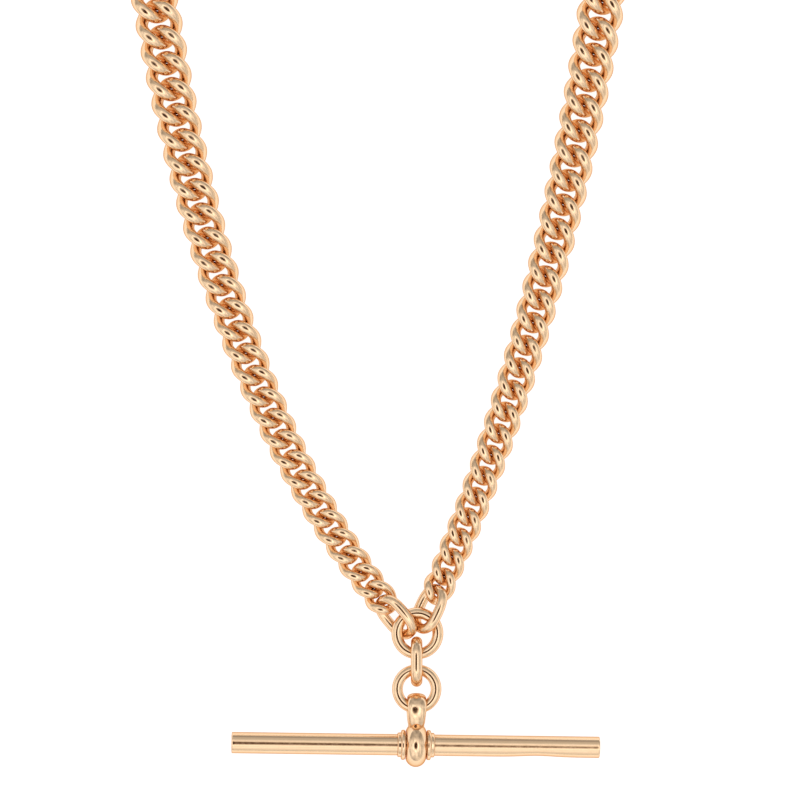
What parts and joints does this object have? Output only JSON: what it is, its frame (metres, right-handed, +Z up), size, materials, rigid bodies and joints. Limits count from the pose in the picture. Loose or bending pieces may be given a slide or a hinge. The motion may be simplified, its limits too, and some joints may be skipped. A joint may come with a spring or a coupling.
{
  "type": "pocket watch chain",
  "caption": "Gold double Albert watch chain: T-bar with swivelling bead, rings and drop link, two graduated curb-link arms ending in sprung swivel clips.",
  "frame": {"origin": "on the surface it lies on, under the middle of the whole chain", "axes": "+Y runs up the chain from the T-bar to the clips, +X to the right seen from above, +Z up from the surface"},
  "size_m": [0.0534, 0.1004, 0.0044],
  "materials": {
    "rose_gold": "polished",
    "spring_steel": "satin"
  },
  "bodies": {
    "t_bar": {"bar_tube": "rose_gold", "bar_end_plugs": "rose_gold", "bar_collars": "rose_gold"},
    "bead": {"swivel_bead": "rose_gold"},
    "lower_ring": {"lower_ring": "rose_gold"},
    "drop_link": {"drop_link": "rose_gold"},
    "junction_ring": {"junction_ring": "rose_gold"},
    "left_link_01": {"left_link_01": "rose_gold"},
    "left_link_02": {"left_link_02": "rose_gold"},
    "left_link_03": {"left_link_03": "rose_gold"},
    "left_link_04": {"left_link_04": "rose_gold"},
    "left_link_05": {"left_link_05": "rose_gold"},
    "left_link_06": {"left_link_06": "rose_gold"},
    "left_link_07": {"left_link_07": "rose_gold"},
    "left_link_08": {"left_link_08": "rose_gold"},
    "left_link_09": {"left_link_09": "rose_gold"},
    "left_link_10": {"left_link_10": "rose_gold"},
    "left_link_11": {"left_link_11": "rose_gold"},
    "left_link_12": {"left_link_12": "rose_gold"},
    "left_link_13": {"left_link_13": "rose_gold"},
    "left_links_14_15": {"left_links_14_15": "rose_gold"},
    "left_links_16_17": {"left_links_16_17": "rose_gold"},
    "left_links_18_19": {"left_links_18_19": "rose_gold"},
    "left_links_20_21": {"left_links_20_21": "rose_gold"},
    "left_links_22_23": {"left_links_22_23": "rose_gold"},
    "left_links_24_25": {"left_links_24_25": "rose_gold"},
    "left_links_26_27": {"left_links_26_27": "rose_gold"},
    "left_links_28_29": {"left_links_28_29": "rose_gold"},
    "left_end_ring": {"left_end_ring": "rose_gold"},
    "left_swivel_eye": {"left_swivel_eye": "rose_gold"},
    "left_swivel_hook": {"left_swivel_hook": "rose_gold", "left_gate_pin": "rose_gold", "left_gate_spring": "spring_steel"},
    "left_swivel_gate": {"left_swivel_gate": "rose_gold"},
    "right_link_01": {"right_link_01": "rose_gold"},
    "right_link_02": {"right_link_02": "rose_gold"},
    "right_link_03": {"right_link_03": "rose_gold"},
    "right_link_04": {"right_link_04": "rose_gold"},
    "right_link_05": {"right_link_05": "rose_gold"},
    "right_link_06": {"right_link_06": "rose_gold"},
    "right_link_07": {"right_link_07": "rose_gold"},
    "right_link_08": {"right_link_08": "rose_gold"},
    "right_link_09": {"right_link_09": "rose_gold"},
    "right_link_10": {"right_link_10": "rose_gold"},
    "right_link_11": {"right_link_11": "rose_gold"},
    "right_link_12": {"right_link_12": "rose_gold"},
    "right_links_13_14": {"right_links_13_14": "rose_gold"},
    "right_links_15_16": {"right_links_15_16": "rose_gold"},
    "right_links_17_18": {"right_links_17_18": "rose_gold"},
    "right_links_19_20": {"right_links_19_20": "rose_gold"},
    "right_links_21_22": {"right_links_21_22": "rose_gold"},
    "right_links_23_24": {"right_links_23_24": "rose_gold"},
    "right_links_25_26": {"right_links_25_26": "rose_gold"},
    "right_links_27_28": {"right_links_27_28": "rose_gold"},
    "right_end_ring": {"right_end_ring": "rose_gold"},
    "right_swivel_eye": {"right_swivel_eye": "rose_gold"},
    "right_swivel_hook": {"right_swivel_hook": "rose_gold", "right_gate_pin": "rose_gold", "right_gate_spring": "spring_steel"},
    "right_swivel_gate": {"right_swivel_gate": "rose_gold"}
  },
  "joints": [
    {"name": "bead_swivel", "type": "hinge", "parent": "t_bar", "child": "bead", "pos_m": [0.00367, -0.04798, 0.0022], "axis": [0.998, -0.0165, -0.061], "continuous": true},
    {"name": "lower_ring_hinge", "type": "hinge", "parent": "bead", "child": "lower_ring", "pos_m": [0.00376, -0.0424, 0.00209], "axis": [0, 0.0576, 0.9983], "range_deg": [-25, 25]},
    {"name": "drop_link_hinge", "type": "hinge", "parent": "lower_ring", "child": "drop_link", "pos_m": [0.00376, -0.04047, 0.00198], "axis": [1, 0, 0], "range_deg": [-60, 60]},
    {"name": "junction_ring_hinge", "type": "hinge", "parent": "drop_link", "child": "junction_ring", "pos_m": [0.00375, -0.03773, 0.00193], "axis": [0, 0, -1], "range_deg": [-25, 25]},
    {"name": "left_link_01_slide_round", "type": "hinge", "parent": "junction_ring", "child": "left_link_01", "pos_m": [0.00383, -0.03685, 0.00174], "axis": [0, 0.0785, 0.9969], "range_deg": [0, 15]},
    {"name": "left_link_02_hinge", "type": "hinge", "parent": "left_link_01", "child": "left_link_02", "pos_m": [0.00033, -0.03361, 0.00164], "axis": [0.4803, 0.4066, 0.7771], "range_deg": [-20, 20]},
    {"name": "left_link_03_hinge", "type": "hinge", "parent": "left_link_02", "child": "left_link_03", "pos_m": [-0.00027, -0.03285, 0.00128], "axis": [0.5733, 0.372, -0.73], "range_deg": [-20, 20]},
    {"name": "left_link_04_hinge", "type": "hinge", "parent": "left_link_03", "child": "left_link_04", "pos_m": [-0.0021, -0.03038, 0.0011], "axis": [0.5205, 0.443, 0.73], "range_deg": [-20, 20]},
    {"name": "left_link_05_hinge", "type": "hinge", "parent": "left_link_04", "child": "left_link_05", "pos_m": [-0.00278, -0.02942, 0.00109], "axis": [0.5699, 0.3746, -0.7314], "range_deg": [-20, 20]},
    {"name": "left_link_06_hinge", "type": "hinge", "parent": "left_link_05", "child": "left_link_06", "pos_m": [-0.00451, -0.02679, 0.00108], "axis": [0.5688, 0.3763, 0.7314], "range_deg": [-20, 20]},
    {"name": "left_link_07_hinge", "type": "hinge", "parent": "left_link_06", "child": "left_link_07", "pos_m": [-0.00514, -0.02577, 0.00109], "axis": [-0.586, -0.3489, 0.7313], "range_deg": [-20, 20]},
    {"name": "left_link_08_hinge", "type": "hinge", "parent": "left_link_07", "child": "left_link_08", "pos_m": [-0.00677, -0.023, 0.00111], "axis": [-0.5908, -0.3408, -0.7313], "range_deg": [-20, 20]},
    {"name": "left_link_09_hinge", "type": "hinge", "parent": "left_link_08", "child": "left_link_09", "pos_m": [-0.00736, -0.02193, 0.00112], "axis": [-0.602, -0.3205, 0.7313], "range_deg": [-20, 20]},
    {"name": "left_link_10_hinge", "type": "hinge", "parent": "left_link_09", "child": "left_link_10", "pos_m": [-0.00888, -0.01902, 0.00114], "axis": [-0.607, -0.311, -0.7313], "range_deg": [-20, 20]},
    {"name": "left_link_11_hinge", "type": "hinge", "parent": "left_link_10", "child": "left_link_11", "pos_m": [-0.00943, -0.01791, 0.00115], "axis": [-0.6158, -0.2931, 0.7313], "range_deg": [-20, 20]},
    {"name": "left_link_12_hinge", "type": "hinge", "parent": "left_link_11", "child": "left_link_12", "pos_m": [-0.01085, -0.01487, 0.00118], "axis": [-0.6203, -0.2834, -0.7313], "range_deg": [-20, 20]},
    {"name": "left_link_13_hinge", "type": "hinge", "parent": "left_link_12", "child": "left_link_13", "pos_m": [-0.01135, -0.01372, 0.00119], "axis": [-0.6275, -0.2672, 0.7313], "range_deg": [-20, 20]},
    {"name": "left_links_14_15_hinge", "type": "hinge", "parent": "left_link_13", "child": "left_links_14_15", "pos_m": [-0.01267, -0.01056, 0.00121], "axis": [-0.6315, -0.2575, -0.7313], "range_deg": [-20, 20]},
    {"name": "left_links_16_17_hinge", "type": "hinge", "parent": "left_links_14_15", "child": "left_links_16_17", "pos_m": [-0.01398, -0.00715, 0.00124], "axis": [-0.6416, -0.2314, 0.7313], "range_deg": [-20, 20]},
    {"name": "left_links_18_19_hinge", "type": "hinge", "parent": "left_links_16_17", "child": "left_links_18_19", "pos_m": [-0.01591, -0.0015, 0.00128], "axis": [-0.6487, -0.2106, -0.7313], "range_deg": [-20, 20]},
    {"name": "left_links_20_21_hinge", "type": "hinge", "parent": "left_links_18_19", "child": "left_links_20_21", "pos_m": [-0.01701, 0.00211, 0.00131], "axis": [0.6553, 0.189, -0.7313], "range_deg": [-20, 20]},
    {"name": "left_links_22_23_hinge", "type": "hinge", "parent": "left_links_20_21", "child": "left_links_22_23", "pos_m": [-0.01864, 0.00809, 0.00135], "axis": [0.6605, 0.1699, 0.7313], "range_deg": [-20, 20]},
    {"name": "left_links_24_25_hinge", "type": "hinge", "parent": "left_links_22_23", "child": "left_links_24_25", "pos_m": [-0.01956, 0.01188, 0.00137], "axis": [0.6648, 0.1522, -0.7313], "range_deg": [-20, 20]},
    {"name": "left_links_26_27_hinge", "type": "hinge", "parent": "left_links_24_25", "child": "left_links_26_27", "pos_m": [-0.02091, 0.01816, 0.00141], "axis": [0.6686, 0.1347, 0.7313], "range_deg": [-20, 20]},
    {"name": "left_links_28_29_hinge", "type": "hinge", "parent": "left_links_26_27", "child": "left_links_28_29", "pos_m": [-0.02167, 0.02212, 0.00144], "axis": [0.6713, 0.1206, -0.7313], "range_deg": [-20, 20]},
    {"name": "left_end_ring_hinge", "type": "hinge", "parent": "left_links_28_29", "child": "left_end_ring", "pos_m": [-0.02276, 0.02867, 0.00148], "axis": [0.674, 0.1045, 0.7313], "range_deg": [-20, 20]},
    {"name": "left_swivel_eye_hinge", "type": "hinge", "parent": "left_end_ring", "child": "left_swivel_eye", "pos_m": [-0.02266, 0.03097, 0.00227], "axis": [0.866, 0.131, -0.4825], "range_deg": [-15, 15]},
    {"name": "left_hook_swivel", "type": "hinge", "parent": "left_swivel_eye", "child": "left_swivel_hook", "pos_m": [-0.02266, 0.0343, 0.00215], "axis": [0, 1, 0], "continuous": true},
    {"name": "left_gate_hinge", "type": "hinge", "parent": "left_swivel_hook", "child": "left_swivel_gate", "pos_m": [-0.01956, 0.0383, 0.00215], "axis": [0, 0, 1], "range_deg": [0, 24], "stiffness_Nm_per_rad": 0.002, "springref_deg": -8.59},
    {"name": "right_link_01_slide_round", "type": "hinge", "parent": "junction_ring", "child": "right_link_01", "pos_m": [0.00383, -0.03685, 0.00174], "axis": [0, -0.0785, -0.9969], "range_deg": [0, 15]},
    {"name": "right_link_02_hinge", "type": "hinge", "parent": "right_link_01", "child": "right_link_02", "pos_m": [0.00588, -0.03249, 0.00164], "axis": [0.5722, -0.262, 0.7771], "range_deg": [-20, 20]},
    {"name": "right_link_03_hinge", "type": "hinge", "parent": "right_link_02", "child": "right_link_03", "pos_m": [0.00627, -0.03161, 0.00128], "axis": [0.6098, -0.3085, -0.73], "range_deg": [-20, 20]},
    {"name": "right_link_04_hinge", "type": "hinge", "parent": "right_link_03", "child": "right_link_04", "pos_m": [0.00748, -0.02878, 0.0011], "axis": [0.6446, -0.2271, 0.73], "range_deg": [-20, 20]},
    {"name": "right_link_05_hinge", "type": "hinge", "parent": "right_link_04", "child": "right_link_05", "pos_m": [0.00793, -0.02769, 0.00109], "axis": [0.6333, -0.2531, -0.7314], "range_deg": [-20, 20]},
    {"name": "right_link_06_hinge", "type": "hinge", "parent": "right_link_05", "child": "right_link_06", "pos_m": [0.00909, -0.02477, 0.00108], "axis": [0.634, -0.2512, 0.7314], "range_deg": [-20, 20]},
    {"name": "right_link_07_hinge", "type": "hinge", "parent": "right_link_06", "child": "right_link_07", "pos_m": [0.00952, -0.02365, 0.00109], "axis": [-0.6411, 0.2326, 0.7313], "range_deg": [-20, 20]},
    {"name": "right_link_08_hinge", "type": "hinge", "parent": "right_link_07", "child": "right_link_08", "pos_m": [0.01064, -0.02064, 0.00111], "axis": [-0.6379, 0.2414, -0.7313], "range_deg": [-20, 20]},
    {"name": "right_link_09_hinge", "type": "hinge", "parent": "right_link_08", "child": "right_link_09", "pos_m": [0.01105, -0.01949, 0.00112], "axis": [-0.6465, 0.2172, 0.7313], "range_deg": [-20, 20]},
    {"name": "right_link_10_hinge", "type": "hinge", "parent": "right_link_09", "child": "right_link_10", "pos_m": [0.01212, -0.01638, 0.00114], "axis": [-0.643, 0.2273, -0.7313], "range_deg": [-20, 20]},
    {"name": "right_link_11_hinge", "type": "hinge", "parent": "right_link_10", "child": "right_link_11", "pos_m": [0.01251, -0.01521, 0.00115], "axis": [-0.6511, 0.2029, 0.7313], "range_deg": [-20, 20]},
    {"name": "right_link_12_hinge", "type": "hinge", "parent": "right_link_11", "child": "right_link_12", "pos_m": [0.01353, -0.01202, 0.00118], "axis": [-0.6479, 0.2131, -0.7313], "range_deg": [-20, 20]},
    {"name": "right_links_13_14_hinge", "type": "hinge", "parent": "right_link_12", "child": "right_links_13_14", "pos_m": [0.0139, -0.01082, 0.00119], "axis": [-0.6552, 0.1892, 0.7313], "range_deg": [-20, 20]},
    {"name": "right_links_15_16_hinge", "type": "hinge", "parent": "right_links_13_14", "child": "right_links_15_16", "pos_m": [0.01552, -0.00525, 0.00123], "axis": [-0.6543, 0.1925, -0.7313], "range_deg": [-20, 20]},
    {"name": "right_links_17_18_hinge", "type": "hinge", "parent": "right_links_15_16", "child": "right_links_17_18", "pos_m": [0.01649, -0.00169, 0.00125], "axis": [-0.6622, 0.1632, 0.7313], "range_deg": [-20, 20]},
    {"name": "right_links_19_20_hinge", "type": "hinge", "parent": "right_links_17_18", "child": "right_links_19_20", "pos_m": [0.01794, 0.00415, 0.0013], "axis": [-0.6613, 0.1667, -0.7313], "range_deg": [-20, 20]},
    {"name": "right_links_21_22_hinge", "type": "hinge", "parent": "right_links_19_20", "child": "right_links_21_22", "pos_m": [0.01879, 0.00787, 0.00132], "axis": [0.6677, -0.1389, -0.7313], "range_deg": [-20, 20]},
    {"name": "right_links_23_24_hinge", "type": "hinge", "parent": "right_links_21_22", "child": "right_links_23_24", "pos_m": [0.02008, 0.01398, 0.00136], "axis": [0.667, -0.1425, 0.7313], "range_deg": [-20, 20]},
    {"name": "right_links_25_26_hinge", "type": "hinge", "parent": "right_links_23_24", "child": "right_links_25_26", "pos_m": [0.02083, 0.01785, 0.00139], "axis": [0.672, -0.1163, -0.7313], "range_deg": [-20, 20]},
    {"name": "right_links_27_28_hinge", "type": "hinge", "parent": "right_links_25_26", "child": "right_links_27_28", "pos_m": [0.02195, 0.02422, 0.00143], "axis": [0.6714, -0.1201, 0.7313], "range_deg": [-20, 20]},
    {"name": "right_end_ring_hinge", "type": "hinge", "parent": "right_links_27_28", "child": "right_end_ring", "pos_m": [0.02278, 0.0295, 0.00146], "axis": [0.6732, -0.1095, 0.7313], "range_deg": [-20, 20]},
    {"name": "right_swivel_eye_hinge", "type": "hinge", "parent": "right_end_ring", "child": "right_swivel_eye", "pos_m": [0.02269, 0.03179, 0.00227], "axis": [0.866, 0.1343, -0.4816], "range_deg": [-15, 15]},
    {"name": "right_hook_swivel", "type": "hinge", "parent": "right_swivel_eye", "child": "right_swivel_hook", "pos_m": [0.02269, 0.03513, 0.00215], "axis": [0, 1, 0], "continuous": true},
    {"name": "right_gate_hinge", "type": "hinge", "parent": "right_swivel_hook", "child": "right_swivel_gate", "pos_m": [0.02579, 0.03913, 0.00215], "axis": [0, 0, 1], "range_deg": [0, 24], "stiffness_Nm_per_rad": 0.002, "springref_deg": -8.59}
  ]
}
